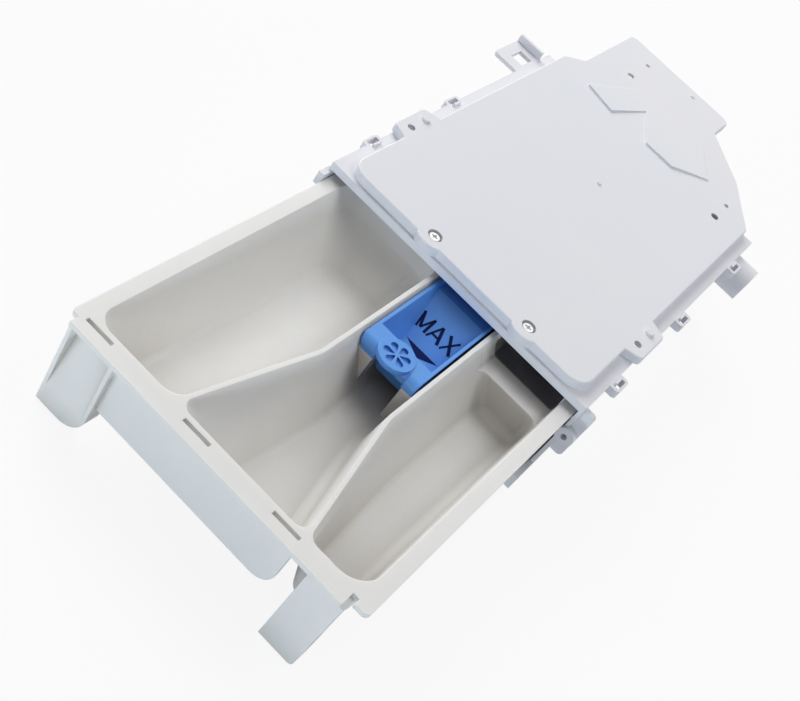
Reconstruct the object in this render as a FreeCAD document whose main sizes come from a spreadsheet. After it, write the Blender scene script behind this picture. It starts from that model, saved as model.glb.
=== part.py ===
"""Detergent dispenser drawer of a washing machine, pulled out of its housing.

The frame: X to the right seen from the front, Y towards the back, Z up.
The origin is the centre of the housing's flat base, on the surface that the part stands on.
"""
import FreeCAD, Part
import math
import os
import types

import Sketcher
from FreeCAD import Vector

# Driving dimensions in millimetres. Places along the drawer are measured back from the front
# corners of its rim, places along the housing and the cover back from the housing's front
# edge, and drops down from the top of the drawer's rim.
SIZES = {
    # Drawer: rim and lip
    "rim_height": 54.0,
    "rim_width": 176.0,
    "rim_thick": 2.5,
    "rim_land": 8.0,
    "rim_corner": 3.0,
    "drawer_length": 240.0,
    "drawer_out": 185.0,
    "front_land": 6.5,
    "lip_out": 5.0,
    "lip_left": 83.5,
    "lip_right": 77.0,
    "lip_notch_width": 3.3,
    "lip_notch_depth": 3.4,
    "clip_slot_length": 15.5,
    "clip_slot_width": 2.2,
    "clip_slot_place": 2.6,
    "clip_slot_depth": 3.4,
    "clip_socket_wall": 1.0,
    "clip_slot_one": -73.0,
    "clip_slot_two": -14.0,
    "clip_slot_three": 39.0,
    # Drawer: tubs, dividers, weir and rear pocket
    "wall": 2.0,
    "tub_depth": 31.0,
    "tub_draft": 3.0,
    "tub_corner": 10.0,
    "tub_floor_round": 5.5,
    "divider": 2.2,
    "divider_root": 6.0,
    "divider_bend": 88.0,
    "divider_bend_round": 25.0,
    "divider_one_front": -30.0,
    "divider_one_rear": -12.5,
    "divider_two_front": 47.8,
    "divider_two_rear": 31.0,
    "left_tub_rear": 195.0,
    "left_rear_lean": 25.0,
    "left_floor_front": -63.0,
    "left_floor_rear": -57.0,
    "middle_tub_rear": 230.0,
    "middle_floor_front": 2.0,
    "middle_floor_bend": 7.0,
    "middle_floor_rear": 0.0,
    "right_front_corner": 15.0,
    "right_floor_front": 56.0,
    "right_floor_rear": 51.0,
    "weir_place": 172.0,
    "weir_width": 14.5,
    "weir_drop": 10.0,
    "weir_inset": 0.3,
    "pocket_left": 34.0,
    "pocket_right": 79.0,
    "pocket_rear": 232.0,
    "pocket_corner": 2.5,
    # Drawer: skirt, legs, stops, and what the insert rests on
    "skirt_front": 1.5,
    "skirt_right": 49.0,
    "skirt_round": 10.0,
    "leg_drop": 53.5,
    "leg_front": 4.5,
    "leg_back": 5.0,
    "leg_wall": 2.0,
    "left_leg_round": 13.0,
    "right_leg_round": 2.5,
    "left_leg_outer": -83.0,
    "left_leg_inner": -56.5,
    "left_leg_sill": 42.0,
    "left_leg_lean": 6.5,
    "right_leg_inner": 59.0,
    "right_leg_outer": 79.0,
    "leg_slot_top": 29.0,
    "leg_slot_low": 42.0,
    "stop_length": 5.0,
    "stop_width": 4.0,
    "stop_height": 2.4,
    "stop_place": 197.5,
    "rest_width": 8.0,
    "rest_length": 8.0,
    "rest_place": 117.5,
    "rest_gap": 0.1,
    "rear_rest_length": 12.0,
    "standpipe_outer": 4.0,
    "standpipe_bore": 2.6,
    "standpipe_x": 12.0,
    "standpipe_place": 206.0,
    "standpipe_drop": 11.0,
    # Insert
    "insert_left": -9.2,
    "insert_right": 28.3,
    "insert_drop": 1.0,
    "insert_depth": 22.0,
    "insert_left_draft": 10.6,
    "insert_right_draft": 1.8,
    "insert_end_draft": 2.0,
    "insert_wall": 1.8,
    "insert_front": 128.5,
    "insert_rear": 222.0,
    "insert_shelf": 9.5,
    "insert_plate": 2.4,
    "insert_corner": 3.0,
    "slope_low": 17.0,
    "slope_high": 2.5,
    "slope_foot": 158.0,
    "slope_head": 186.0,
    "lug_out": 2.0,
    "lug_left_width": 11.5,
    "lug_right_width": 7.0,
    "lug_drop": 7.0,
    "lug_round": 4.5,
    "tab_x": 9.5,
    "tab_place": 123.4,
    "tab_radius": 10.3,
    "tab_rise": 0.5,
    "petal_inner": 1.0,
    "petal_outer": 7.6,
    "petal_half_width": 3.1,
    "petal_round": 1.9,
    "petal_tip": 0.3,
    "petal_depth": 1.3,
    "bell_outer": 7.0,
    "bell_bore": 5.5,
    "bell_drop": 28.0,
    # Housing: box, flange, rails and stops
    "housing_length": 247.0,
    "base_length": 132.0,
    "housing_wall": 2.3,
    "side_gap": 0.7,
    "front_floor_rise": 8.0,
    "flange_height": 8.0,
    "flange_thick": 2.5,
    "flange_width": 15.0,
    "cross_bar_height": 4.6,
    "cross_bar_depth": 24.0,
    "rail_width": 5.3,
    "rail_thick": 2.2,
    "rail_gap": 0.4,
    "rail_front": 2.0,
    "rail_rear_gap": 38.0,
    "tongue_front": 8.0,
    "tongue_length": 3.0,
    "tongue_gap": 0.6,
    # Housing: loops, lugs, ear, arms, spigots and bracket
    "loop_out": 6.0,
    "loop_length": 14.0,
    "loop_height": 5.0,
    "loop_window_length": 9.0,
    "loop_window_width": 3.0,
    "loop_round": 2.5,
    "loop_left_inset": 2.5,
    "loop_left_place": 3.0,
    "ramp_length": 7.0,
    "ramp_width": 1.4,
    "ramp_rise": 1.4,
    "loop_one": 35.0,
    "loop_two": 123.0,
    "loop_three": 208.0,
    "ear_out": 7.0,
    "ear_front": 2.0,
    "ear_thick": 3.5,
    "ear_low": 28.0,
    "ear_high": 5.0,
    "ear_round": 3.0,
    "boss_radius": 5.5,
    "boss_bore": 1.8,
    "boss_length": 14.0,
    "boss_front": 2.0,
    "boss_out": 1.6,
    "boss_drop": 13.6,
    "arm_thick": 4.4,
    "arm_front": 17.0,
    "arm_root": 6.0,
    "arm_low": 52.0,
    "arm_high": 42.0,
    "spigot_radius": 11.5,
    "spigot_bore": 9.2,
    "spigot_out": 16.0,
    "spigot_place": 227.0,
    "spigot_drop": 6.7,
    "bracket_out": 19.0,
    "bracket_front": 201.0,
    "bracket_length": 33.0,
    "bracket_thick": 2.5,
    "bracket_rise": 5.5,
    "bracket_up": 5.0,
    "bracket_round": 3.0,
    "bracket_slot_out": 6.3,
    "bracket_slot_length": 13.0,
    "bracket_slot_width": 9.5,
    "guide_out": 1.5,
    "guide_front": 7.0,
    "guide_low": 5.0,
    "guide_high": 3.0,
    "outlet_radius": 16.0,
    "outlet_bore": 13.7,
    "outlet_out": 26.0,
    "outlet_height": 20.0,
    # Cover
    "cover_rise": 5.2,
    "cover_wall": 2.0,
    "cover_front": 2.2,
    "cover_left": -83.2,
    "cover_right": 83.2,
    "cover_front_round": 12.0,
    "cover_corner": 6.0,
    "cover_left_rear": 251.0,
    "cover_right_rear": 244.5,
    "cover_skew_x": 55.7,
    "cover_skew_y": 284.8,
    "seat_left": -73.0,
    "seat_right": 20.5,
    "seat_skew_rear": 317.0,
    "seat_left_front": 266.0,
    "seat_rear": 345.0,
    "cover_edge_round": 1.0,
    "screw_one_x": -26.0,
    "screw_two_x": 41.2,
    "screw_place": 9.0,
    "screw_tab_radius": 10.4,
    "screw_head": 3.0,
    "screw_head_height": 2.4,
    "screw_shank": 1.75,
    "screw_length": 6.0,
    "screw_gap": 0.2,
    "screw_recess": 1.3,
    "screw_cross_width": 1.1,
    "screw_cross_length": 3.8,
    "screw_cross_depth": 1.3,
    "counterbore_depth": 3.2,
    "side_tab_out": 10.5,
    "side_tab_front": 58.0,
    "side_tab_length": 30.0,
    "side_tab_root": 4.0,
    "side_tab_round": 4.0,
    "side_tab_edge": 7.4,
    "side_tab_hole": 2.4,
    "side_tab_hole_out": 2.9,
    "side_tab_pitch": 15.0,
    "pin_radius": 2.4,
    "pin_rise": 1.4,
    "valve_screw_hole": 2.75,
    "valve_locator_hole": 1.75,
    "valve_one_x": -47.0,
    "valve_one_place": 295.0,
    "valve_one_pitch": 29.0,
    "valve_two_x": 62.7,
    "valve_two_place": 229.0,
    "valve_two_pitch": 21.0,
    "channel_rise": 1.3,
    "channel_front": 237.0,
    "channel_left": -56.0,
    "channel_step_left": -33.0,
    "channel_notch_x": -20.0,
    "channel_notch": 33.0,
    "channel_step_right": -2.0,
    "channel_right_front": 20.0,
    "channel_right": 42.0,
    "channel_right_lean": 21.0,
    "channel_length": 56.0,
    "nub_radius": 1.4,
    "nub_rise": 0.8,
    "nub_one_x": -10.7,
    "nub_one_place": 335.6,
    "nub_two_x": 1.6,
    "nub_two_place": 160.3,
    # Spray plate
    "spray_thick": 1.6,
    "spray_gap": 0.4,
    "spray_front": 22.0,
    "spray_rear": 215.0,
    "spray_hole": 1.5,
    "spray_pitch_x": 18.0,
    "spray_pitch_y": 40.0,
}

doc = FreeCAD.newDocument("detergent_dispenser")
sheet = doc.addObject("Spreadsheet::Sheet", "sizes")
for row, (alias, number) in enumerate(SIZES.items(), start=1):
    sheet.set(f"A{row}", alias.replace("_", " "))
    sheet.set(f"B{row}", str(number))
    sheet.setAlias(f"B{row}", alias)
doc.recompute()


class Size:
    """A length that carries both its number and the sheet expression that it comes from."""

    def __init__(self, number, text):
        self.number = float(number)
        self.text = text

    @staticmethod
    def of(other):
        return other if isinstance(other, Size) else Size(other, repr(float(other)))

    def __add__(self, other):
        other = Size.of(other)
        return Size(self.number + other.number, f"({self.text} + {other.text})")

    def __sub__(self, other):
        other = Size.of(other)
        return Size(self.number - other.number, f"({self.text} - {other.text})")

    def __mul__(self, other):
        other = Size.of(other)
        return Size(self.number * other.number, f"({self.text} * {other.text})")

    def __truediv__(self, other):
        other = Size.of(other)
        return Size(self.number / other.number, f"({self.text} / {other.text})")

    def __neg__(self):
        return Size(-self.number, f"(0 - {self.text})")

    __radd__ = __add__

    def __rsub__(self, other):
        return Size.of(other) - self


s = types.SimpleNamespace(**{name: Size(number, f"sizes.{name}") for name, number in SIZES.items()})

# Places that several pieces share
housing_rear = s.base_length / 2
housing_front = housing_rear - s.housing_length
drawer_front = housing_front - s.drawer_out
rim_top = s.rim_height
rim_low = rim_top - s.rim_thick
half_rim = s.rim_width / 2
tub_edge = half_rim - s.rim_land
tub_front = drawer_front + s.front_land
bend = drawer_front + s.divider_bend
flange_top = rim_top + s.flange_height
flange_low = flange_top - s.flange_thick
half_bay = half_rim + s.side_gap
half_housing = half_bay + s.housing_wall
cover_top = flange_top + s.cover_rise
insert_top = rim_top - s.insert_drop
floor_top = rim_top - s.tub_depth
lug_lean = s.insert_left_draft * s.lug_drop / s.insert_depth


class Piece:
    """One moulding or other single piece, built as a body of features."""

    def __init__(self, label):
        self.body = doc.addObject("PartDesign::Body", label)
        self.body.Label = label

    def sketch(self, role, height):
        sketch = self.body.newObject("Sketcher::SketchObject", "outline")
        origin_plane = next(item for item in self.body.Origin.OriginFeatures if item.Role == role)
        sketch.AttachmentSupport = [(origin_plane, "")]
        sketch.MapMode = "FlatFace"
        sketch.setExpression(".AttachmentOffset.Base.z", Size.of(height).text)
        return sketch

    @staticmethod
    def hold(sketch, kind, where, length):
        """Adds one dimension to a sketch and binds it to the sheet."""
        length = Size.of(length)
        index = sketch.addConstraint(Sketcher.Constraint(kind, *where, length.number))
        sketch.setExpression(f"Constraints[{index}]", length.text)

    def hold_point(self, sketch, geometry, end, x, y):
        self.hold(sketch, "DistanceX", (-1, 1, geometry, end), x)
        self.hold(sketch, "DistanceY", (-1, 1, geometry, end), y)

    def outline(self, role, height, *rings):
        """A sketch of closed rings. A corner of a ring is (x, y) or (x, y, radius)."""
        sketch = self.sketch(role, height)
        for corners in rings:
            self.add_ring(sketch, corners)
        return sketch

    def add_ring(self, sketch, corners):
        places = [Vector(Size.of(c[0]).number, Size.of(c[1]).number, 0) for c in corners]
        count = len(corners)
        base = sketch.GeometryCount
        entry, leave, arcs = [], [], []
        for i, corner in enumerate(corners):
            place = places[i]
            if len(corner) == 2:
                entry.append(place)
                leave.append(place)
                arcs.append(None)
                continue
            radius = Size.of(corner[2])
            back = (places[i - 1] - place).normalize()
            ahead = (places[(i + 1) % count] - place).normalize()
            half = back.getAngle(ahead) / 2
            reach = radius.number / math.tan(half)
            entry.append(place + back * reach)
            leave.append(place + ahead * reach)
            centre = place + (back + ahead).normalize() * (radius.number / math.sin(half))
            left_turn = back.cross(ahead).z < 0
            arcs.append((centre, radius, left_turn))
        for i in range(count):
            sketch.addGeometry(Part.LineSegment(leave[i], entry[(i + 1) % count]), False)
        for i, arc in enumerate(arcs):
            line = base + i
            before = base + (i - 1) % count
            if arc is None:
                sketch.addConstraint(Sketcher.Constraint("Coincident", before, 2, line, 1))
                self.hold_point(sketch, line, 1, *corners[i][:2])
                continue
            centre, radius, left_turn = arc
            first, last = (entry[i], leave[i]) if left_turn else (leave[i], entry[i])
            start = math.atan2(first.y - centre.y, first.x - centre.x)
            stop = math.atan2(last.y - centre.y, last.x - centre.x)
            circle = Part.Circle(centre, Vector(0, 0, 1), radius.number)
            bow = sketch.addGeometry(Part.ArcOfCircle(circle, start, stop), False)
            near, far = (1, 2) if left_turn else (2, 1)
            sketch.addConstraint(Sketcher.Constraint("Tangent", before, 2, bow, near))
            sketch.addConstraint(Sketcher.Constraint("Tangent", bow, far, line, 1))
            self.hold(sketch, "Radius", (bow,), radius)
            corner_point = sketch.addGeometry(Part.Point(places[i]), True)
            sketch.addConstraint(Sketcher.Constraint("PointOnObject", corner_point, 1, before))
            sketch.addConstraint(Sketcher.Constraint("PointOnObject", corner_point, 1, line))
            self.hold_point(sketch, corner_point, 1, *corners[i][:2])

    def circles(self, role, height, centres, radius):
        """One or more circles of the same radius."""
        sketch = self.sketch(role, height)
        for x, y in centres:
            centre = Vector(Size.of(x).number, Size.of(y).number, 0)
            ring = sketch.addGeometry(Part.Circle(centre, Vector(0, 0, 1), Size.of(radius).number), False)
            self.hold(sketch, "Radius", (ring,), radius)
            self.hold_point(sketch, ring, 3, x, y)
        return sketch

    def volume(self):
        doc.recompute()
        return self.body.Shape.Volume if not self.body.Shape.isNull() else 0.0

    def pad(self, sketch, length, refine=False):
        pad = self.body.newObject("PartDesign::Pad", "pad")
        pad.Profile = sketch
        pad.AllowMultiFace = True
        pad.Refine = refine
        pad.setExpression("Length", Size.of(length).text)
        return pad

    def pocket(self, sketch, length):
        before = self.volume()
        pocket = self.body.newObject("PartDesign::Pocket", "pocket")
        pocket.Profile = sketch
        pocket.AllowMultiFace = True
        pocket.Refine = False
        pocket.setExpression("Length", Size.of(length).text)
        if self.volume() >= before:
            failed = [thing.Name for thing in doc.Objects if "Invalid" in thing.State]
            raise RuntimeError(f"a pocket of {self.body.Label} cuts nothing, failed: {failed}")
        return pocket

    def loft(self, top, bottom, cut=False):
        kind = "PartDesign::SubtractiveLoft" if cut else "PartDesign::AdditiveLoft"
        loft = self.body.newObject(kind, "loft")
        loft.Profile = top
        loft.Sections = [bottom]
        loft.Ruled = True
        loft.Refine = False
        return loft

    def fillet(self, radius, chosen):
        """Rounds the edges whose ends all pass the test."""
        doc.recompute()
        base = self.body.Tip
        names = []
        for number, edge in enumerate(base.Shape.Edges, start=1):
            if chosen(edge):
                names.append(f"Edge{number}")
        fillet = self.body.newObject("PartDesign::Fillet", "round")
        fillet.Base = (base, names)
        fillet.setExpression("Radius", Size.of(radius).text)
        fillet.Refine = False
        return fillet


    # Simple solids added and cut, given by the limits of their boxes
    def block(self, x_low, x_high, y_low, y_high, z_low, z_high, radius=None):
        ring = box_corners(x_low, x_high, y_low, y_high, radius)
        return self.pad(self.outline("XY_Plane", z_low, ring), z_high - z_low)

    def blocks(self, rings, z_low, z_high, refine=False):
        return self.pad(self.outline("XY_Plane", z_low, *rings), z_high - z_low, refine)

    def cut_block(self, x_low, x_high, y_low, y_high, z_low, z_high, radius=None):
        ring = box_corners(x_low, x_high, y_low, y_high, radius)
        return self.pocket(self.outline("XY_Plane", z_high, ring), z_high - z_low)

    def cut_blocks(self, rings, z_low, z_high):
        return self.pocket(self.outline("XY_Plane", z_high, *rings), z_high - z_low)

    def across(self, corners, x_low, x_high):
        """A profile in Y and Z, carried along X."""
        return self.pad(self.outline("YZ_Plane", x_low, corners), x_high - x_low)

    def cut_across(self, corners, x_low, x_high):
        return self.pocket(self.outline("YZ_Plane", x_high, corners), x_high - x_low)

    def along(self, corners, y_low, y_high):
        """A profile in X and Z, carried along Y."""
        return self.pad(self.outline("XZ_Plane", -y_high, corners), y_high - y_low)

    def cut_along(self, corners, y_low, y_high):
        return self.pocket(self.outline("XZ_Plane", -y_low, corners), y_high - y_low)

    def rod(self, centres, radius, z_low, z_high):
        return self.pad(self.circles("XY_Plane", z_low, centres, radius), z_high - z_low)

    def drill(self, centres, radius, z_low, z_high):
        return self.pocket(self.circles("XY_Plane", z_high, centres, radius), z_high - z_low)

    def rod_along(self, centres, radius, y_low, y_high):
        return self.pad(self.circles("XZ_Plane", -y_high, centres, radius), y_high - y_low)

    def drill_along(self, centres, radius, y_low, y_high):
        return self.pocket(self.circles("XZ_Plane", -y_low, centres, radius), y_high - y_low)


def box_corners(x_low, x_high, y_low, y_high, radius=None):
    ring = [(x_low, y_low), (x_high, y_low), (x_high, y_high), (x_low, y_high)]
    return ring if radius is None else [(x, y, radius) for x, y in ring]


def level(edge, height, tolerance=0.01):
    """True where an edge lies wholly at one height."""
    box = edge.BoundBox
    return abs(box.ZMin - height.number) < tolerance and abs(box.ZMax - height.number) < tolerance


def within(edge, x_low, x_high, y_low, y_high):
    """True where an edge's middle lies in a rectangle seen from above."""
    middle = edge.BoundBox.Center
    x_fits = Size.of(x_low).number < middle.x < Size.of(x_high).number
    return x_fits and Size.of(y_low).number < middle.y < Size.of(y_high).number


# The three tubs: each corner is (top x, top y, floor x, floor y, radius, outward x, outward y)
one_left_front = s.divider_one_front - s.divider / 2
one_left_rear = s.divider_one_rear - s.divider / 2
one_right_front = s.divider_one_front + s.divider / 2
one_right_rear = s.divider_one_rear + s.divider / 2
two_left_front = s.divider_two_front - s.divider / 2
two_left_rear = s.divider_two_rear - s.divider / 2
two_right_front = s.divider_two_front + s.divider / 2
two_right_rear = s.divider_two_rear + s.divider / 2
left_rear = drawer_front + s.left_tub_rear
left_floor_end = left_rear - s.left_rear_lean
middle_rear = drawer_front + s.middle_tub_rear
weir_front = drawer_front + s.weir_place
floor_front = tub_front + s.tub_draft

LEFT_TUB = [
    (-tub_edge, tub_front, s.left_floor_front, floor_front, s.tub_corner, -1, -1),
    (one_left_front, tub_front, one_left_front - s.tub_draft, floor_front, s.tub_corner, 1, -1),
    (one_left_rear, bend, one_left_rear - s.tub_draft, bend, s.divider_bend_round, 1, 0),
    (one_left_rear, left_rear, one_left_rear - s.tub_draft, left_floor_end, s.tub_corner, 1, 1),
    (-tub_edge, left_rear, s.left_floor_rear, left_floor_end, s.tub_corner, -1, 1),
]
MIDDLE_TUB = [
    (one_right_front, tub_front, s.middle_floor_front, floor_front, s.divider_root, -1, -1),
    (two_left_front, tub_front, two_left_front - s.tub_draft, floor_front, s.divider_root, 1, -1),
    (two_left_rear, bend, two_left_rear - s.tub_draft, bend, s.divider_bend_round, 1, 0),
    (two_left_rear, middle_rear, two_left_rear - s.tub_draft, middle_rear - s.tub_draft, s.divider_root, 1, 1),
    (one_right_rear, middle_rear, s.middle_floor_rear, middle_rear - s.tub_draft, s.divider_root, -1, 1),
    (one_right_rear, bend, s.middle_floor_bend, bend, s.divider_bend_round, -1, 0),
]
RIGHT_TUB = [
    (two_right_front, tub_front, s.right_floor_front, floor_front, s.divider_root, -1, -1),
    (tub_edge, tub_front, tub_edge - s.tub_draft, floor_front, s.right_front_corner, 1, -1),
    (tub_edge, weir_front, tub_edge - s.tub_draft, weir_front, s.divider_root, 1, 1),
    (two_right_rear, weir_front, s.right_floor_rear, weir_front, s.divider_root, -1, 1),
    (two_right_rear, bend, s.right_floor_rear, bend, s.divider_bend_round, -1, 0),
]


def tub_sections(piece, tub, wall, floor):
    """The outlines of a tub at the rim and at the floor, grown outwards by a wall."""
    top = []
    bottom = []
    for top_x, top_y, low_x, low_y, radius, out_x, out_y in tub:
        corner = radius if out_y == 0 else radius + wall
        top.append((top_x + wall * out_x, top_y + wall * out_y, corner))
        bottom.append((low_x + wall * out_x, low_y + wall * out_y, corner))
    return piece.outline("XY_Plane", rim_top, top), piece.outline("XY_Plane", floor, bottom)


def drop(depth):
    """A height below the top of the drawer's rim."""
    return rim_top - depth


def behind(place):
    """A place measured back from the front of the drawer's rim."""
    return drawer_front + place


def beyond(place):
    """A place measured back from the front of the housing."""
    return housing_front + place


def build_drawer_tray():
    tray = Piece("drawer_tray")
    rear = behind(s.drawer_length)
    tray.block(-half_rim, half_rim, drawer_front, rear, rim_low, rim_top, s.rim_corner)
    tray.block(-s.lip_left, s.lip_right, behind(-s.lip_out), tub_front, rim_low, rim_top)
    tubs = (LEFT_TUB, MIDDLE_TUB, RIGHT_TUB)
    for tub in tubs:
        tray.loft(*tub_sections(tray, tub, s.wall, floor_top - s.wall))
    # The weir behind the right tub and the open pocket behind the weir
    pocket_front = weir_front + s.weir_width
    pocket_rear = behind(s.pocket_rear)
    pocket_outer = s.pocket_right + s.wall
    tub_under = floor_top - s.wall
    tray.block(s.divider_two_rear, tub_edge + s.wall, weir_front, pocket_front,
               drop(s.weir_drop) - s.wall, rim_top)
    tray.block(s.divider_two_rear, pocket_outer, pocket_front - s.wall, pocket_rear + s.wall,
               tub_under, rim_top)
    # The two front legs and the skirt between them
    leg_low = drop(s.leg_drop)
    leg_front = behind(-s.leg_front)
    leg_back = behind(s.leg_back)
    tray.along([(s.left_leg_outer, leg_low), (s.left_leg_inner, leg_low, s.left_leg_round),
                (s.left_leg_inner, rim_top), (s.left_leg_outer, rim_top)], leg_front, leg_back)
    tray.along([(s.right_leg_inner, leg_low), (s.right_leg_outer, leg_low, s.right_leg_round),
                (s.right_leg_outer, rim_low), (s.right_leg_inner, rim_low)], leg_front, leg_back)
    skirt_left = s.left_leg_inner - s.leg_wall / 2
    tray.along([(skirt_left, tub_under), (s.skirt_right, tub_under, s.skirt_round),
                (s.skirt_right, rim_low), (skirt_left, rim_low)],
               behind(-s.skirt_front), behind(-s.skirt_front) + s.wall)
    # The stops that meet the housing's tongues
    stop_front = behind(s.stop_place)
    stop_rear = stop_front + s.stop_length
    tray.blocks([box_corners(outer, outer + s.stop_width, stop_front, stop_rear)
                 for outer in (-half_rim, half_rim - s.stop_width)], rim_low, rim_top + s.stop_height)
    tray.cut_block(s.pocket_left, s.pocket_right, pocket_front, pocket_rear,
                   tub_under, rim_top, s.pocket_corner)
    # The left leg is a scoop: its web leans forward to the front plane
    inner_left = s.left_leg_outer + s.leg_wall
    inner_right = s.left_leg_inner - s.leg_wall
    sill = drop(s.left_leg_sill)
    web_top = leg_front + s.left_leg_lean
    tray.cut_across([(leg_front, rim_low), (leg_front, sill), (web_top, rim_low)],
                    inner_left, inner_right)
    web_low = leg_front + s.leg_wall
    tray.cut_across([(web_low, leg_low + s.leg_wall), (leg_back, leg_low + s.leg_wall),
                     (leg_back, rim_low - s.leg_wall), (web_top + s.leg_wall, rim_low - s.leg_wall),
                     (web_low, sill)], inner_left, inner_right)
    # The right leg is open at its back and slotted on its outer side
    tray.cut_block(s.right_leg_inner + s.leg_wall, s.right_leg_outer - s.leg_wall, web_low, leg_back,
                   leg_low + s.leg_wall, rim_low - s.leg_wall)
    tray.cut_block(s.right_leg_outer - s.leg_wall, s.right_leg_outer, web_low, leg_back - s.leg_wall,
                   drop(s.leg_slot_low), drop(s.leg_slot_top))
    # Clip slots and the notch at the end of the lip
    half_slot = s.clip_slot_length / 2
    slot_place = behind(s.clip_slot_place)
    slot_front = slot_place - s.clip_slot_width / 2
    slots = [box_corners(centre - half_slot, centre + half_slot, slot_front,
                         slot_front + s.clip_slot_width)
             for centre in (s.clip_slot_one, s.clip_slot_two, s.clip_slot_three)]
    notch = box_corners(s.lip_right, s.lip_right + s.lip_notch_width, drawer_front,
                        behind(s.lip_notch_depth))
    slot_floor = rim_top - s.clip_slot_depth
    tray.blocks([box_corners(centre - half_slot - s.clip_socket_wall, centre + half_slot + s.clip_socket_wall,
                             behind(-s.skirt_front), tub_front)
                 for centre in (s.clip_slot_one, s.clip_slot_two, s.clip_slot_three)],
                slot_floor - s.clip_socket_wall, rim_low)
    tray.cut_blocks(slots, slot_floor, rim_top)
    tray.cut_blocks([notch], rim_low, rim_top)
    # The tubs are hollowed
    for tub in tubs:
        tray.loft(*tub_sections(tray, tub, Size(0, "0"), floor_top), cut=True)
    # The weir opening follows the slope of the right tub's side walls
    left_lean = (s.right_floor_rear - two_right_rear) * s.weir_drop / s.tub_depth
    right_lean = s.tub_draft * s.weir_drop / s.tub_depth
    slot_left = two_right_rear + s.weir_inset
    slot_right = tub_edge - s.weir_inset
    slot_front = weir_front - s.divider_root
    slot_rear = pocket_front + s.pocket_corner
    upper = box_corners(slot_left, slot_right, slot_front, slot_rear)
    lower = box_corners(slot_left + left_lean, slot_right - right_lean, slot_front, slot_rear)
    tray.loft(tray.outline("XY_Plane", rim_top, upper),
              tray.outline("XY_Plane", drop(s.weir_drop), lower), cut=True)
    tray.fillet(s.tub_floor_round, lambda edge: level(edge, floor_top))
    # What the insert rests on, and the standpipe of the siphon
    rest_top = insert_top - s.lug_drop - s.rest_gap
    rest_front = behind(s.rest_place)
    rest_left = s.insert_left + lug_lean
    rest_right = two_left_rear - s.rest_width
    rest_rear = rest_front + s.rest_length
    tray.blocks([box_corners(one_right_rear - s.divider / 2, rest_left + s.rest_width, rest_front,
                             rest_rear),
                 box_corners(rest_right, two_left_rear + s.divider / 2, rest_front, rest_rear)],
                tub_under, rest_top)
    insert_low = insert_top - s.insert_depth
    tray.block(rest_right - s.rest_width, rest_right, middle_rear - s.rear_rest_length,
               middle_rear, tub_under, insert_low - s.rest_gap)
    pipe = [(s.standpipe_x, behind(s.standpipe_place))]
    tray.rod(pipe, s.standpipe_outer, tub_under, drop(s.standpipe_drop))
    tray.drill(pipe, s.standpipe_bore, tub_under, drop(s.standpipe_drop))
    return tray


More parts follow.
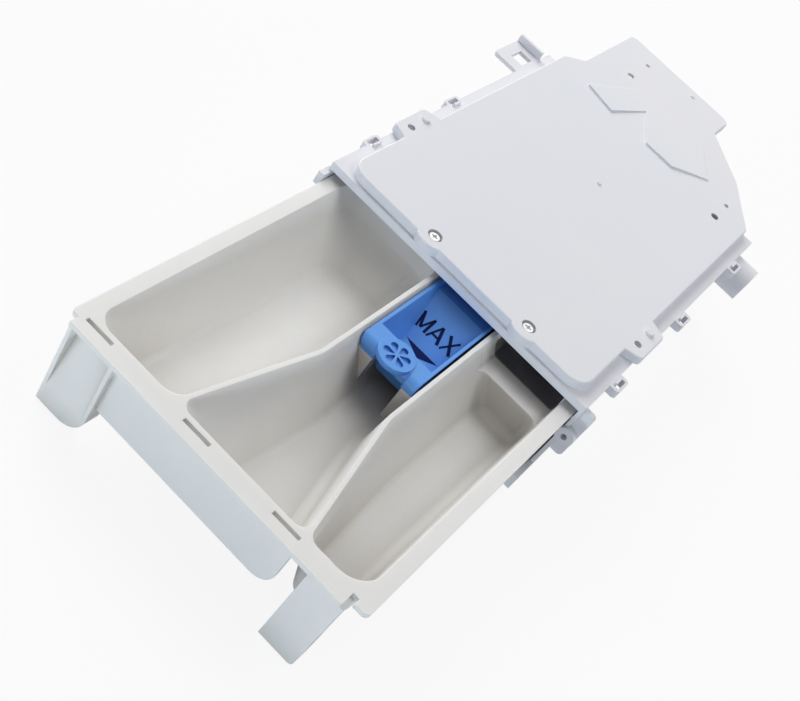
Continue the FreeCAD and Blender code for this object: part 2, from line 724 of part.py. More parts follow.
def build_siphon_insert():
    insert = Piece("siphon_insert")
    front = behind(s.insert_front)
    rear = behind(s.insert_rear)
    low = insert_top - s.insert_depth
    shelf_front = front - s.insert_shelf
    low_left = s.insert_left + s.insert_left_draft
    low_right = s.insert_right - s.insert_right_draft
    top_ring = box_corners(s.insert_left, s.insert_right, front, rear, s.insert_corner)
    low_ring = box_corners(low_left, low_right, front + s.insert_end_draft, rear - s.insert_end_draft,
                           s.insert_corner)
    insert.loft(insert.outline("XY_Plane", insert_top, top_ring),
                insert.outline("XY_Plane", low, low_ring))
    # The front shelf with a lug at each end. Their front edges are rounded, their left side leans
    lug_low = insert_top - s.lug_drop
    lug_front = shelf_front - s.lug_out
    joint = front + s.insert_corner
    lug_left = s.insert_left + s.lug_left_width
    lug_right = s.insert_right - s.lug_right_width

    def shelf(place):
        return [(place, lug_low), (joint, lug_low), (joint, insert_top), (place, insert_top, s.lug_round)]

    insert.across(shelf(lug_front), s.insert_left, lug_left)
    insert.across(shelf(shelf_front), lug_left, lug_right)
    insert.across(shelf(lug_front), lug_right, s.insert_right)
    insert.cut_along([(s.insert_left, insert_top), (s.insert_left + lug_lean, lug_low),
                      (s.insert_left, lug_low)], lug_front, joint)
    # The finger tab
    tab = [(s.tab_x, behind(s.tab_place))]
    insert.rod(tab, s.tab_radius, insert_top - s.insert_plate, insert_top + s.tab_rise)
    # The fill pocket: a flat floor, then a slope up to a ledge at the rear
    wall = s.insert_wall
    left_slope = s.insert_left_draft / s.insert_depth
    right_slope = s.insert_right_draft / s.insert_depth
    top_left = s.insert_left + wall
    top_right = s.insert_right - wall

    def section(place, low_drop, high_drop):
        low_z = insert_top - low_drop
        ring = [(top_left + left_slope * low_drop, low_z), (top_right - right_slope * low_drop, low_z),
                (top_right - right_slope * high_drop, insert_top - high_drop),
                (top_left + left_slope * high_drop, insert_top - high_drop)]
        return insert.outline("XZ_Plane", -place, ring)

    none = Size(0, "0")
    pocket_front = front + wall + s.insert_end_draft
    pocket_rear = rear - wall - s.insert_end_draft
    foot = behind(s.slope_foot)
    head = behind(s.slope_head)
    stations = [(pocket_front, s.slope_low), (foot, s.slope_low), (head, s.slope_high),
                (pocket_rear, s.slope_high)]
    for (near, near_drop), (far, far_drop) in zip(stations[:-1], stations[1:]):
        insert.loft(section(near, near_drop, none), section(far, far_drop, none), cut=True)
    # Hollow below the floor, with the siphon bell inside it
    for (near, near_drop), (far, far_drop) in zip(stations[:-1], stations[1:]):
        insert.loft(section(near, s.insert_depth, near_drop + wall),
                    section(far, s.insert_depth, far_drop + wall), cut=True)
    bell = [(s.standpipe_x, behind(s.standpipe_place))]
    ceiling = insert_top - s.slope_high - wall
    insert.rod(bell, s.bell_outer, drop(s.bell_drop), ceiling + wall / 2)
    insert.drill(bell, s.bell_bore, drop(s.bell_drop), ceiling)
    # The flower on the finger tab
    tab_top = insert_top + s.tab_rise
    petals = []
    for turn in range(6):
        ahead = math.cos(math.radians(60 * turn + 20))
        aside = math.sin(math.radians(60 * turn + 20))
        petal = []
        for out, across, radius in ((s.petal_inner, none, s.petal_tip),
                                    (s.petal_outer, -s.petal_half_width, s.petal_round),
                                    (s.petal_outer, s.petal_half_width, s.petal_round)):
            petal.append((tab[0][0] + out * ahead - across * aside,
                          tab[0][1] + out * aside + across * ahead, radius))
        petals.append(petal)
    insert.cut_blocks(petals, tab_top - s.petal_depth, tab_top)
    return insert


def build_housing():
    housing = Piece("housing")
    rear = housing_rear
    base_front = rear - s.base_length
    floor = s.housing_wall
    housing.across([(housing_front, s.front_floor_rise), (base_front, 0), (rear, 0),
                    (rear, flange_top), (housing_front, flange_top)], -half_housing, half_housing)
    # The ear with its screw boss, and the arms below the opening
    ear_outer = half_housing + s.ear_out
    ear_front = beyond(s.ear_front)
    housing.along([(half_bay, drop(s.ear_low), s.ear_round), (ear_outer, drop(s.ear_low), s.ear_round),
                   (ear_outer, rim_top + s.ear_high, s.ear_round), (half_bay, rim_top + s.ear_high)],
                  ear_front, ear_front + s.ear_thick)
    boss = [(half_housing + s.boss_out, drop(s.boss_drop))]
    boss_front = beyond(-s.boss_front)
    housing.rod_along(boss, s.boss_radius, boss_front, boss_front + s.boss_length)
    # The bay is hollowed: open to the front and to the top
    housing.cut_across([(housing_front, s.front_floor_rise + floor), (base_front, floor),
                        (rear - floor, floor), (rear - floor, flange_top), (housing_front, flange_top)],
                       -half_bay, half_bay)
    housing.drill_along(boss, s.boss_bore, boss_front, boss_front + s.boss_length)
    # The flange around the top, and the cross bar over the opening
    flange_inner = half_housing - s.flange_width
    bay_rear = rear - s.flange_width
    housing.blocks([box_corners(low, high, housing_front, rear) for low, high in
                    ((-half_housing, -flange_inner), (flange_inner, half_housing))],
                   flange_low, flange_top)
    housing.block(-half_bay, half_bay, bay_rear, rear, flange_low, flange_top)
    bar_low = flange_top - s.cross_bar_height
    housing.block(-half_bay, half_bay, housing_front, beyond(s.cross_bar_depth), bar_low, flange_top)
    # Rails under the drawer's rim, and tongues that its stops meet
    rail_top = rim_low - s.rail_gap
    rail_inner = half_bay - s.rail_width
    rail_rear = rear - s.rail_rear_gap
    tongue_front = beyond(s.tongue_front)
    tongue_rear = tongue_front + s.tongue_length
    tongue_inner = half_rim - s.stop_width
    housing.blocks([box_corners(low, high, beyond(s.rail_front), rail_rear) for low, high in
                    ((-half_bay, -rail_inner), (rail_inner, half_bay))],
                   rail_top - s.rail_thick, rail_top)
    housing.blocks([box_corners(low, high, tongue_front, tongue_rear) for low, high in
                    ((-half_rim, -tongue_inner), (tongue_inner, half_rim))],
                   rim_top + s.tongue_gap, bar_low)
    # The lower front arms
    arm_inner = half_housing - s.arm_thick
    housing.blocks([box_corners(low, high, beyond(-s.arm_front), beyond(s.arm_root)) for low, high in
                    ((-half_housing, -arm_inner), (arm_inner, half_housing))],
                   drop(s.arm_low), drop(s.arm_high))
    # Clip loops along the flange: three on the right and two on the left
    half_loop = s.loop_length / 2
    half_window = s.loop_window_length / 2
    loop_low = flange_top - s.loop_height
    loop_outer = half_housing + s.loop_out
    window_inner = half_housing + (s.loop_out - s.loop_window_width) / 2
    window_outer = window_inner + s.loop_window_width
    half_ramp = s.ramp_length / 2
    loops = []
    windows = []
    ramps = []
    for place in (s.loop_one, s.loop_two, s.loop_three):
        front = beyond(place) - half_loop
        back = beyond(place) + half_loop
        loops.append([(half_bay, front), (loop_outer, front, s.loop_round),
                      (loop_outer, back, s.loop_round), (half_bay, back)])
        windows.append(box_corners(window_inner, window_outer, beyond(place) - half_window,
                                   beyond(place) + half_window))
        ramps.append(box_corners(window_inner - s.ramp_width / 2, window_inner + s.ramp_width / 2,
                                 beyond(place) - half_ramp, beyond(place) + half_ramp))
    # The left ones sit further in, with their windows over the side wall
    left_outer = s.loop_left_inset - loop_outer
    left_window = s.loop_left_inset - window_outer
    for place in (s.loop_one + s.loop_left_place, s.loop_two):
        front = beyond(place) - half_loop
        back = beyond(place) + half_loop
        loops.append([(-half_bay, back), (left_outer, back, s.loop_round),
                      (left_outer, front, s.loop_round), (-half_bay, front)])
        windows.append(box_corners(left_window, -half_bay, beyond(place) - half_window,
                                   beyond(place) + half_window))
        ramps.append(box_corners(-half_bay - s.ramp_width / 2, -half_bay + s.ramp_width / 2,
                                 beyond(place) - half_ramp, beyond(place) + half_ramp))
    housing.blocks(loops, loop_low, flange_top)
    housing.cut_blocks(windows, loop_low, flange_top)
    housing.blocks(ramps, loop_low, flange_top + s.ramp_rise)
    # Spigot on the right side
    spigot = [(beyond(s.spigot_place), drop(s.spigot_drop))]
    housing.pad(housing.circles("YZ_Plane", half_bay, spigot, s.spigot_radius),
                s.spigot_out + s.housing_wall)
    housing.pocket(housing.circles("YZ_Plane", half_housing + s.spigot_out, spigot, s.spigot_bore),
                   s.spigot_out + s.housing_wall)
    # Slotted bracket on the left side
    bracket_outer = half_housing + s.bracket_out
    bracket_front = beyond(s.bracket_front)
    bracket_rear = bracket_front + s.bracket_length
    bracket_low = rim_top + s.bracket_rise
    bracket_top = bracket_low + s.bracket_thick
    bracket_mid = bracket_front + s.bracket_length / 2
    housing.blocks([[(-half_bay, bracket_rear), (-bracket_outer, bracket_rear),
                     (-bracket_outer, bracket_front, s.bracket_round), (-half_bay, bracket_front)]],
                   bracket_low, bracket_top)
    housing.block(-bracket_outer, -half_housing, bracket_rear - s.bracket_thick, bracket_rear,
                  bracket_low, bracket_top + s.bracket_up)
    slot_centre = -half_housing - s.bracket_slot_out
    housing.cut_block(slot_centre - s.bracket_slot_width / 2, slot_centre + s.bracket_slot_width / 2,
                      bracket_mid - s.bracket_slot_length / 2, bracket_mid + s.bracket_slot_length / 2,
                      bracket_low, bracket_top)
    # The guide that stands forward of the left wall
    housing.block(-half_housing - s.guide_out, -half_bay, beyond(-s.guide_front), beyond(s.rail_front),
                  drop(s.guide_low), rim_top + s.guide_high)
    # Outlet at the rear
    outlet = [(0, s.outlet_height)]
    housing.rod_along(outlet, s.outlet_radius, rear - floor, rear + s.outlet_out)
    housing.drill_along(outlet, s.outlet_bore, rear - floor, rear + s.outlet_out)
    # Holes for the cover's screws
    screws = [(s.screw_one_x, beyond(s.screw_place)), (s.screw_two_x, beyond(s.screw_place))]
    housing.drill(screws, s.screw_shank + s.screw_gap, bar_low, flange_top)
    return housing


def cover_ring(inset):
    """The outline of the cover, moved inwards by a distance."""
    front = beyond(s.cover_front) + inset
    left = s.cover_left + inset
    right = s.cover_right - inset
    round_front = s.cover_front_round - inset
    corner = s.cover_corner
    return [
        (left, front, round_front),
        (right, front, round_front),
        (right, beyond(s.cover_right_rear) - inset, corner),
        (s.cover_skew_x - inset, beyond(s.cover_skew_y) - inset, corner),
        (s.seat_right - inset, beyond(s.seat_skew_rear) - inset, corner),
        (s.seat_right - inset, beyond(s.seat_rear) - inset, corner),
        (s.seat_left + inset, beyond(s.seat_rear) - inset, corner),
        (s.seat_left + inset, beyond(s.seat_left_front) - inset, corner),
        (left, beyond(s.cover_left_rear) - inset, corner),
    ]


def build_top_cover():
    cover = Piece("top_cover")
    none = Size(0, "0")
    cover.pad(cover.outline("XY_Plane", flange_top, cover_ring(none)), s.cover_rise)
    screws = [(s.screw_one_x, beyond(s.screw_place)), (s.screw_two_x, beyond(s.screw_place))]
    ceiling = cover_top - s.cover_wall
    cover.pocket(cover.outline("XY_Plane", ceiling, cover_ring(s.cover_wall)), s.cover_rise - s.cover_wall)
    cover.rod(screws, s.screw_tab_radius, flange_top, cover_top)
    # Side tabs with a hole and a pin each
    tab_front = beyond(s.side_tab_front)
    tab_rear = tab_front + s.side_tab_length
    hole_place = tab_front + s.side_tab_edge
    pin_place = hole_place + s.side_tab_pitch
    hole_out = s.side_tab_hole_out
    root = s.side_tab_root
    right_root = s.cover_right - s.cover_wall
    left_root = s.cover_left + s.cover_wall
    right_out = s.cover_right + s.side_tab_out
    left_out = s.cover_left - s.side_tab_out
    right_tab = [(right_root, tab_front - root), (s.cover_right, tab_front - root),
                 (right_out, tab_front, s.side_tab_round), (right_out, tab_rear, s.side_tab_round),
                 (s.cover_right, tab_rear + root), (right_root, tab_rear + root)]
    left_tab = [(left_root, tab_rear + root), (s.cover_left, tab_rear + root),
                (left_out, tab_rear, s.side_tab_round), (left_out, tab_front, s.side_tab_round),
                (s.cover_left, tab_front - root), (left_root, tab_front - root)]
    cover.blocks([right_tab, left_tab], flange_top, cover_top, refine=True)
    cover.fillet(s.cover_edge_round, lambda edge: level(edge, cover_top))
    right_x = s.cover_right + hole_out
    left_x = s.cover_left - hole_out
    # The roof over the water channels: a low wedge that steps down at its front
    front = beyond(s.channel_front)
    rear = front + s.channel_length
    wedge_top = cover_top + s.channel_rise
    cover.pad(cover.outline("XY_Plane", ceiling, [
        (s.channel_left, front + s.channel_notch / 6), (s.channel_step_left, front),
        (s.channel_notch_x, front + s.channel_notch), (s.channel_step_right, front),
        (s.channel_right_front, front), (s.channel_right, front + s.channel_right_lean),
        (s.channel_right_front, rear), (s.channel_step_left, rear)]), s.cover_wall + s.channel_rise)
    cover.cut_across([(front, wedge_top), (rear, cover_top), (rear, wedge_top)], s.channel_left,
                     s.channel_right)
    # Pins on the side tabs and two small nubs on the top
    cover.rod([(right_x, pin_place), (left_x, pin_place)], s.pin_radius, ceiling, cover_top + s.pin_rise)
    cover.rod([(s.nub_one_x, beyond(s.nub_one_place)), (s.nub_two_x, beyond(s.nub_two_place))],
              s.nub_radius, ceiling, cover_top + s.nub_rise)
    # Screw recesses, tab holes and the valve holes
    shank = s.screw_shank + s.screw_gap
    cover.drill(screws, s.screw_head + s.screw_recess, cover_top - s.counterbore_depth, cover_top)
    cover.drill(screws, shank, flange_top, cover_top)
    cover.drill([(right_x, hole_place), (left_x, hole_place)], s.side_tab_hole, flange_top, cover_top)
    one = beyond(s.valve_one_place)
    two = beyond(s.valve_two_place)
    cover.drill([(s.valve_one_x, one), (s.valve_two_x, two)], s.valve_screw_hole, flange_top, cover_top)
    cover.drill([(s.valve_one_x, one + s.valve_one_pitch), (s.valve_two_x, two + s.valve_two_pitch)],
                s.valve_locator_hole, flange_top, cover_top)
    return cover


def build_cover_screws():
    screws = Piece("cover_screws")
    centres = [(s.screw_one_x, beyond(s.screw_place)), (s.screw_two_x, beyond(s.screw_place))]
    seat = cover_top - s.counterbore_depth
    screws.rod(centres, s.screw_head, seat, seat + s.screw_head_height)
    screws.rod(centres, s.screw_shank, seat - s.screw_length, seat)
    head_top = seat + s.screw_head_height
    half_long = s.screw_cross_length / 2
    half_wide = s.screw_cross_width / 2
    for reach_x, reach_y in ((half_long, half_wide), (half_wide, half_long)):
        screws.cut_blocks([box_corners(x - reach_x, x + reach_x, y - reach_y, y + reach_y)
                           for x, y in centres], head_top - s.screw_cross_depth, head_top)
    return screws


def build_spray_plate():
    plate = Piece("spray_plate")
    inset = s.cover_wall + s.spray_gap
    front = beyond(s.spray_front)
    rear = beyond(s.spray_rear)
    left = s.cover_left + inset
    right = s.cover_right - inset
    plate.block(left, right, front, rear, flange_top, flange_top + s.spray_thick)
    holes = []
    for column in range(-4, 5):
        for row in range(1, 5):
            holes.append((s.spray_pitch_x * column, front + s.spray_pitch_y * row))
    plate.drill(holes, s.spray_hole, flange_top, flange_top + s.spray_thick)
    return plate


pieces = [build_drawer_tray(), build_siphon_insert(), build_housing(), build_top_cover(),
          build_cover_screws(), build_spray_plate()]
doc.recompute()
for thing in doc.Objects:
    if "Invalid" in thing.State or "Error" in thing.State:
        raise RuntimeError(f"{thing.Name} failed: {thing.State}")
os.makedirs("parts", exist_ok=True)
for piece in pieces:
    shape = piece.body.Shape
    if shape.isNull() or not shape.isValid():
        raise RuntimeError(f"{piece.body.Label} is not a valid solid")
    shape.exportStep(f"parts/{piece.body.Label}.step")
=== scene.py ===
import math

import bpy
from mathutils import Matrix, Vector


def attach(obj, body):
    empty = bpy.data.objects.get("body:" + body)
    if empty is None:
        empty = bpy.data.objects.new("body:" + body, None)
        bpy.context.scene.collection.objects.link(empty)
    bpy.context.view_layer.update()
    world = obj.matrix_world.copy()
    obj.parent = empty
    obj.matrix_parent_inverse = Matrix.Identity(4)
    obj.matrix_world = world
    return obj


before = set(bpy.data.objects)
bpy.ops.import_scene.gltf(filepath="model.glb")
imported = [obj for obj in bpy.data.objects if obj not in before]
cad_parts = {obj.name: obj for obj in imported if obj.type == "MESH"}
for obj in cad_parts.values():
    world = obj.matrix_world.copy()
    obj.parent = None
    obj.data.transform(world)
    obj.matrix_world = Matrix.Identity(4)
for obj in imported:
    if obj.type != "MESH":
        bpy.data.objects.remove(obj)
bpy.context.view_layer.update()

MM = 0.001
# Places in the row frame, in metres, as the part's source has them
RIM_TOP = 54 * MM
DRAWER_FRONT = -366 * MM
SLOPE_FOOT = Vector((0, DRAWER_FRONT + 158 * MM, RIM_TOP - 18 * MM))
SLOPE_HEAD = Vector((0, DRAWER_FRONT + 186 * MM, RIM_TOP - 3.5 * MM))
# Looks: the grain's scale, the marks' lift off the plastic, and the floor
FINE_GRAIN = 2500.0
MARK_LIFT = 0.06 * MM
MARK_HALF_THICK = 0.12 * MM
FLOOR_HALF_SIDE = 6.0
FLOOR_DROP = 0.0005
FLOOR_WHITE_SHARE = 0.9
# Colours of the lamps
WARM_WHITE = (1.0, 0.99, 0.98)
COOL_WHITE = (0.76, 0.89, 1.0)


def camera():
    """The photograph's camera: place, direction and roll."""
    data = bpy.data.cameras.new("camera")
    data.lens = 57.0
    data.sensor_fit = "HORIZONTAL"
    data.sensor_width = 36.0
    data.clip_start = 0.01
    data.clip_end = 20.0
    eye = bpy.data.objects.new("camera", data)
    bpy.context.scene.collection.objects.link(eye)
    pitch = math.radians(41.11)
    yaw = math.radians(-10.43)
    roll = math.radians(37.94)
    ahead = Vector((math.sin(yaw) * math.cos(pitch), math.cos(yaw) * math.cos(pitch), -math.sin(pitch)))
    level_right = ahead.cross(Vector((0, 0, 1))).normalized()
    level_up = level_right.cross(ahead)
    right = math.cos(roll) * level_right + math.sin(roll) * level_up
    up = -math.sin(roll) * level_right + math.cos(roll) * level_up
    turn = Matrix((right, up, -ahead)).transposed()
    eye.matrix_world = Matrix.Translation(Vector((91.3, -688.1, 451.9)) * MM) @ turn.to_4x4()
    bpy.context.scene.camera = eye


class Nodes:
    """Short way to build a node material."""

    def __init__(self, name):
        self.material = bpy.data.materials.new(name)
        self.material.use_nodes = True
        self.tree = self.material.node_tree
        self.tree.nodes.clear()
        self.shader = self.add("ShaderNodeBsdfPrincipled")
        output = self.add("ShaderNodeOutputMaterial")
        self.link(self.shader.outputs["BSDF"], output.inputs["Surface"])

    def add(self, kind, **values):
        node = self.tree.nodes.new(kind)
        for key, value in values.items():
            if hasattr(node, key):
                setattr(node, key, value)
            else:
                node.inputs[key.replace("_", " ")].default_value = value
        return node

    def link(self, out_socket, in_socket):
        self.tree.links.new(out_socket, in_socket)

    def place(self):
        """Coordinates of the object, in metres, fixed to the piece."""
        return self.add("ShaderNodeTexCoord").outputs["Object"]

    def noise(self, scale, detail=3.0, roughness=0.55):
        noise = self.add("ShaderNodeTexNoise", Scale=scale, Detail=detail, Roughness=roughness)
        self.link(self.place(), noise.inputs["Vector"])
        return noise.outputs["Fac"]

    def ramp(self, value, stops):
        ramp = self.add("ShaderNodeValToRGB")
        first, last = ramp.color_ramp.elements[0], ramp.color_ramp.elements[1]
        first.position, first.color = stops[0][0], (*stops[0][1], 1)
        last.position, last.color = stops[-1][0], (*stops[-1][1], 1)
        for position, colour in stops[1:-1]:
            ramp.color_ramp.elements.new(position).color = (*colour, 1)
        self.link(value, ramp.inputs["Fac"])
        return ramp.outputs["Color"]

    def depth(self, colour, reach, stops, top):
        """Painted shade: darkens a colour where the form closes in around a place (ambient occlusion),
        below a height.
        """
        closed = self.add("ShaderNodeAmbientOcclusion", samples=4, Distance=reach)
        apart = self.add("ShaderNodeSeparateXYZ")
        self.link(self.place(), apart.inputs[0])
        above = self.add("ShaderNodeMapRange", From_Min=top - 8 * MM, From_Max=top)
        self.link(apart.outputs["Z"], above.inputs["Value"])
        open_share = self.add("ShaderNodeMath", operation="MAXIMUM")
        self.link(closed.outputs["AO"], open_share.inputs[0])
        self.link(above.outputs["Result"], open_share.inputs[1])
        shade = self.add("ShaderNodeVectorMath", operation="MULTIPLY")
        self.link(colour, shade.inputs[0])
        self.link(self.ramp(open_share.outputs[0], stops), shade.inputs[1])
        return shade.outputs["Vector"]

    def bump(self, height, strength, distance, edge):
        """Fine relief on top of moulded edges that are rounded by a small radius."""
        bump = self.add("ShaderNodeBump", Strength=strength, Distance=distance)
        self.link(height, bump.inputs["Height"])
        soft = self.add("ShaderNodeBevel", samples=6, Radius=edge)
        self.link(soft.outputs["Normal"], bump.inputs["Normal"])
        self.link(bump.outputs["Normal"], self.shader.inputs["Normal"])


def moulded(name, low, high, rough_low, rough_high, grain, grain_depth,
            edge=0.4 * MM, closed=None, cloud=22.0):
    """Moulded plastic: faint clouding of the colour, uneven gloss and a fine spark-eroded grain, with
    painted shade where the form closes in when closed is given.
    """
    nodes = Nodes(name)
    colour = nodes.ramp(nodes.noise(cloud, 4.0), [(0.3, low), (0.7, high)])
    # Painted shade: darker where the form closes in, when closed-in places are given
    if closed is not None:
        colour = nodes.depth(colour, *closed)
    nodes.link(colour, nodes.shader.inputs["Base Color"])
    gloss = nodes.add("ShaderNodeMapRange", To_Min=rough_low, To_Max=rough_high)
    nodes.link(nodes.noise(60.0, 3.0), gloss.inputs["Value"])
    nodes.link(gloss.outputs["Result"], nodes.shader.inputs["Roughness"])
    nodes.bump(nodes.noise(grain, 2.0), 0.25, grain_depth, edge)
    nodes.shader.inputs["IOR"].default_value = 1.49
    return nodes


def paint(node, material):
    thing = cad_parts[node]
    thing.data.materials.clear()
    thing.data.materials.append(material)


def materials():
    """Paints each piece, and gives back the near-black material of the fill marks."""
    # Reach, painted shade by how open a place is (darker, and warmer between, where the form closes in),
    # and the height below which it counts
    tub_painted_shade = (45 * MM, [(0.12, (0.43, 0.42, 0.42)), (0.42, (0.85, 0.82, 0.78)), (0.68, (1.0, 1.0, 1.0))],
                 49 * MM)
    # Painted shade in the petal recesses and tight corners of the blue insert
    petal_painted_shade = (2.5 * MM, [(0.3, (0.3, 0.45, 0.7)), (0.8, (1.0, 1.0, 1.0))], 70 * MM)
    drawer = moulded("drawer_plastic", (0.785, 0.78, 0.765), (0.815, 0.81, 0.795), 0.5, 0.6,
                     FINE_GRAIN, 0.00003, closed=tub_painted_shade)
    drawer.shader.inputs["Subsurface Weight"].default_value = 0.3
    drawer.shader.inputs["Subsurface Radius"].default_value = (1.0, 0.9, 0.75)
    drawer.shader.inputs["Subsurface Scale"].default_value = 5 * MM
    housing = moulded("housing_plastic", (0.74, 0.74, 0.785), (0.77, 0.77, 0.815), 0.42, 0.54,
                      FINE_GRAIN, 0.00003)
    cover = moulded("cover_plastic", (0.725, 0.745, 0.79), (0.765, 0.765, 0.80), 0.45, 0.58,
                    1800.0, 0.00005, cloud=7.0)
    blue = moulded("blue_plastic", (0.10, 0.315, 0.78), (0.12, 0.345, 0.82), 0.32, 0.42,
                   FINE_GRAIN, 0.00002, closed=petal_painted_shade)
    steel = moulded("screw_steel", (0.72, 0.72, 0.72), (0.84, 0.84, 0.84), 0.45, 0.6,
                    900.0, 0.00003, 0.15 * MM)
    steel.shader.inputs["Metallic"].default_value = 0.6
    paint("drawer_tray", drawer.material)
    paint("housing", housing.material)
    paint("spray_plate", housing.material)
    paint("top_cover", cover.material)
    paint("siphon_insert", blue.material)
    paint("cover_screws", steel.material)
    mark = moulded("dark_mark", (0.002, 0.009, 0.06), (0.003, 0.012, 0.08), 0.6, 0.7,
                   FINE_GRAIN, 0.00002, 0.05 * MM)
    mark.shader.inputs["Specular IOR Level"].default_value = 0.1
    return mark.material


def prism(points, thick, normal):
    """Corners and faces of a thin slab over a ring of points."""
    count = len(points)
    lift = normal * thick
    places = [p + lift for p in points] + [p - lift for p in points]
    faces = [tuple(range(count)), tuple(reversed(range(count, 2 * count)))]
    for i in range(count):
        j = (i + 1) % count
        faces.append((i, i + count, j + count, j))
    return places, faces


def mesh_of(name, slabs, material):
    places, faces = [], []
    for some_places, some_faces in slabs:
        base = len(places)
        places += [tuple(p) for p in some_places]
        faces += [tuple(base + k for k in face) for face in some_faces]
    mesh = bpy.data.meshes.new(name)
    mesh.from_pydata(places, [], faces)
    mesh.update()
    mesh.materials.append(material)
    thing = bpy.data.objects.new(name, mesh)
    bpy.context.scene.collection.objects.link(thing)
    return thing


def fill_marks(dark_mark_colour):
    """The fill-level word on the insert's slope, and its arrow on the floor below; the arrow's near-black
    is painted shade, a flat sheet where its recess lies in shadow.
    """
    up = (SLOPE_HEAD - SLOPE_FOOT).normalized()
    normal = Vector((1, 0, 0)).cross(up)

    def spot(x, along):
        return SLOPE_FOOT + Vector((x * MM, 0, 0)) + up * (along * MM) + normal * MARK_LIFT

    def stroke(x_one, along_one, x_two, along_two, width):
        start, end = spot(x_one, along_one), spot(x_two, along_two)
        aside = normal.cross(end - start).normalized() * (width * MM / 2)
        return prism([start - aside, end - aside, end + aside, start + aside], MARK_HALF_THICK, normal)

    # Feet and heads of the letters along the slope, and the widths of their strokes, in mm
    low, high = 7.8, 17.4
    thin, stem, heavy = 1.1, 1.5, 1.7
    slabs = [
        stroke(0.0, low, -1.9, high, thin), stroke(-1.9, high, 2.0, low + 1, stem),
        stroke(2.0, low + 1, 5.4, high, thin), stroke(5.4, high, 5.4, low, stem),
        stroke(7.3, low, 11.0, high, thin), stroke(11.0, high, 14.7, low, heavy),
        stroke(8.5, low + 3.1, 13.5, low + 3.1, thin),
        stroke(16.6, low, 23.0, high, thin), stroke(16.6, high, 23.0, low, heavy),
    ]
    word = mesh_of("fill_word", slabs, dark_mark_colour)
    level = Vector((0, 0, 1))
    foot = SLOPE_FOOT + level * MARK_LIFT
    corners = [foot + Vector((x, y, 0)) * MM for x, y in ((1.6, -0.2), (13.2, -6.6), (22.6, -0.2))]
    # The arrow: a flat near-black sheet, painted shade where the recessed mark lies in shadow
    arrow = mesh_of("fill_arrow", [prism(corners, MARK_HALF_THICK, level)], dark_mark_colour)
    for piece in (word, arrow):
        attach(piece, "drawer")


def seen_directly(tree):
    """One where a ray comes from the camera or from a mirror or glass surface, else zero."""
    path = tree.nodes.new("ShaderNodeLightPath")
    glossy = tree.nodes.new("ShaderNodeMath")
    glossy.operation = "MAXIMUM"
    tree.links.new(path.outputs["Is Camera Ray"], glossy.inputs[0])
    tree.links.new(path.outputs["Is Glossy Ray"], glossy.inputs[1])
    through = tree.nodes.new("ShaderNodeMath")
    through.operation = "MAXIMUM"
    tree.links.new(glossy.outputs[0], through.inputs[0])
    tree.links.new(path.outputs["Is Transmission Ray"], through.inputs[1])
    return through.outputs[0]


def floor():
    """A pale floor that stays white to the camera and keeps a soft shadow."""
    mesh = bpy.data.meshes.new("floor")
    side = FLOOR_HALF_SIDE
    corners = [(-side, -side, 0), (side, -side, 0), (side, side, 0), (-side, side, 0)]
    mesh.from_pydata(corners, [], [(0, 1, 2, 3)])
    ground = bpy.data.objects.new("floor", mesh)
    bpy.context.scene.collection.objects.link(ground)
    ground.location.z = -FLOOR_DROP
    material = bpy.data.materials.new("floor_white")
    material.use_nodes = True
    tree = material.node_tree
    tree.nodes.clear()
    diffuse = tree.nodes.new("ShaderNodeBsdfDiffuse")
    diffuse.inputs["Color"].default_value = (0.75, 0.75, 0.75, 1)
    glow = tree.nodes.new("ShaderNodeEmission")
    glow.inputs["Color"].default_value = (1, 1, 1, 1)
    glow.inputs["Strength"].default_value = 1.0
    seen = tree.nodes.new("ShaderNodeMixShader")
    share = tree.nodes.new("ShaderNodeMath")
    share.operation = "MULTIPLY"
    share.inputs[1].default_value = FLOOR_WHITE_SHARE
    tree.links.new(seen_directly(tree), share.inputs[0])
    tree.links.new(share.outputs[0], seen.inputs["Fac"])
    tree.links.new(diffuse.outputs[0], seen.inputs[1])
    tree.links.new(glow.outputs[0], seen.inputs[2])
    out = tree.nodes.new("ShaderNodeOutputMaterial")
    tree.links.new(seen.outputs[0], out.inputs["Surface"])
    mesh.materials.append(material)


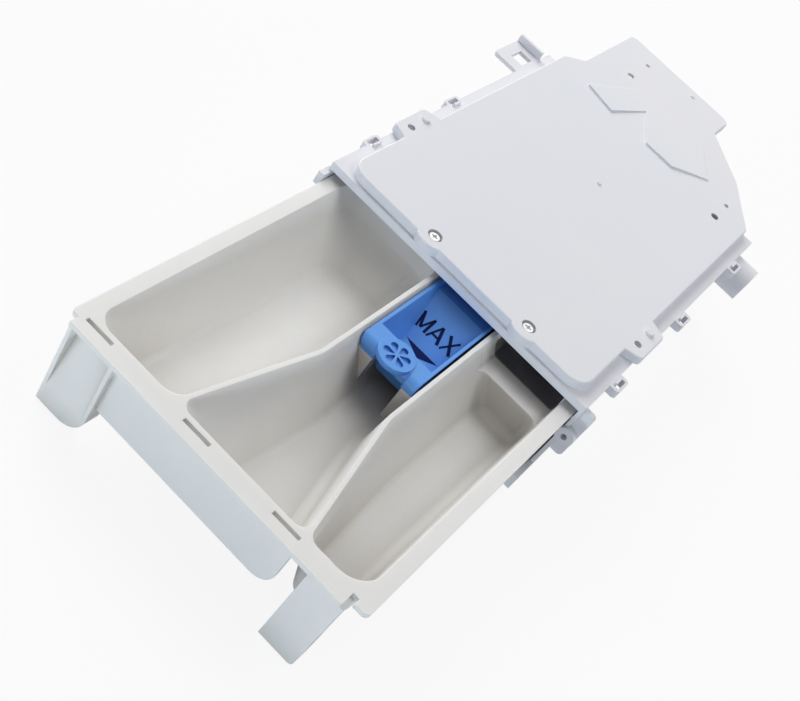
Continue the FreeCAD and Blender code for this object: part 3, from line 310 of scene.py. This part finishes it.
def lamp(name, place, target, size, power, colour, height=None):
    """A soft area lamp: a disk, or an upright strip where a height is given."""
    data = bpy.data.lights.new(name, "AREA")
    data.shape = "DISK" if height is None else "RECTANGLE"
    data.size = size
    if height is not None:
        data.size_y = height
    data.energy = power
    data.color = colour
    thing = bpy.data.objects.new(name, data)
    bpy.context.scene.collection.objects.link(thing)
    thing.location = place
    aim = Vector(target) - Vector(place)
    thing.rotation_euler = aim.to_track_quat("-Z", "Y").to_euler()


def light():
    """A dim world that is white to the camera, a large soft key lamp and four weaker ones."""
    world = bpy.data.worlds.new("studio")
    bpy.context.scene.world = world
    world.use_nodes = True
    tree = world.node_tree
    sky = tree.nodes["Background"]
    sky.inputs["Color"].default_value = (0.93, 0.965, 1.0, 1)
    sky.inputs["Strength"].default_value = 0.12
    white = tree.nodes.new("ShaderNodeBackground")
    white.inputs["Color"].default_value = (1, 1, 1, 1)
    white.inputs["Strength"].default_value = 1.0
    seen = tree.nodes.new("ShaderNodeMixShader")
    tree.links.new(seen_directly(tree), seen.inputs["Fac"])
    tree.links.new(sky.outputs[0], seen.inputs[1])
    tree.links.new(white.outputs[0], seen.inputs[2])
    tree.links.new(seen.outputs[0], tree.nodes["World Output"].inputs["Surface"])
    middle = Vector((0.0, -0.15, 0.04))
    skirt = (0.0, -0.3, 0.03)
    turn, rise = math.radians(-55), math.radians(31)
    toward = Vector((math.sin(turn) * math.cos(rise), math.cos(turn) * math.cos(rise), math.sin(rise)))
    lamp("key", middle + toward * 3.2, middle, 2.9, 108.0, WARM_WHITE)
    lamp("top", middle + Vector((0.7, 0.5, 1.5)), middle, 1.0, 9.8, (1.0, 1.0, 1.0))
    lamp("front_top", middle + Vector((-0.27, -1.1, 1.4)), middle, 1.0, 1.6, WARM_WHITE)
    lamp("front_left", (-0.5, -1.62, 0.12), skirt, 1.2, 7.2, COOL_WHITE, 0.14)
    lamp("front_right", (1.1, -1.3, 0.12), skirt, 1.2, 5.6, COOL_WHITE, 0.14)


def set_view():
    bpy.context.scene.view_settings.view_transform = "Standard"


camera()
dark_mark_colour = materials()
fill_marks(dark_mark_colour)
floor()
light()
set_view()
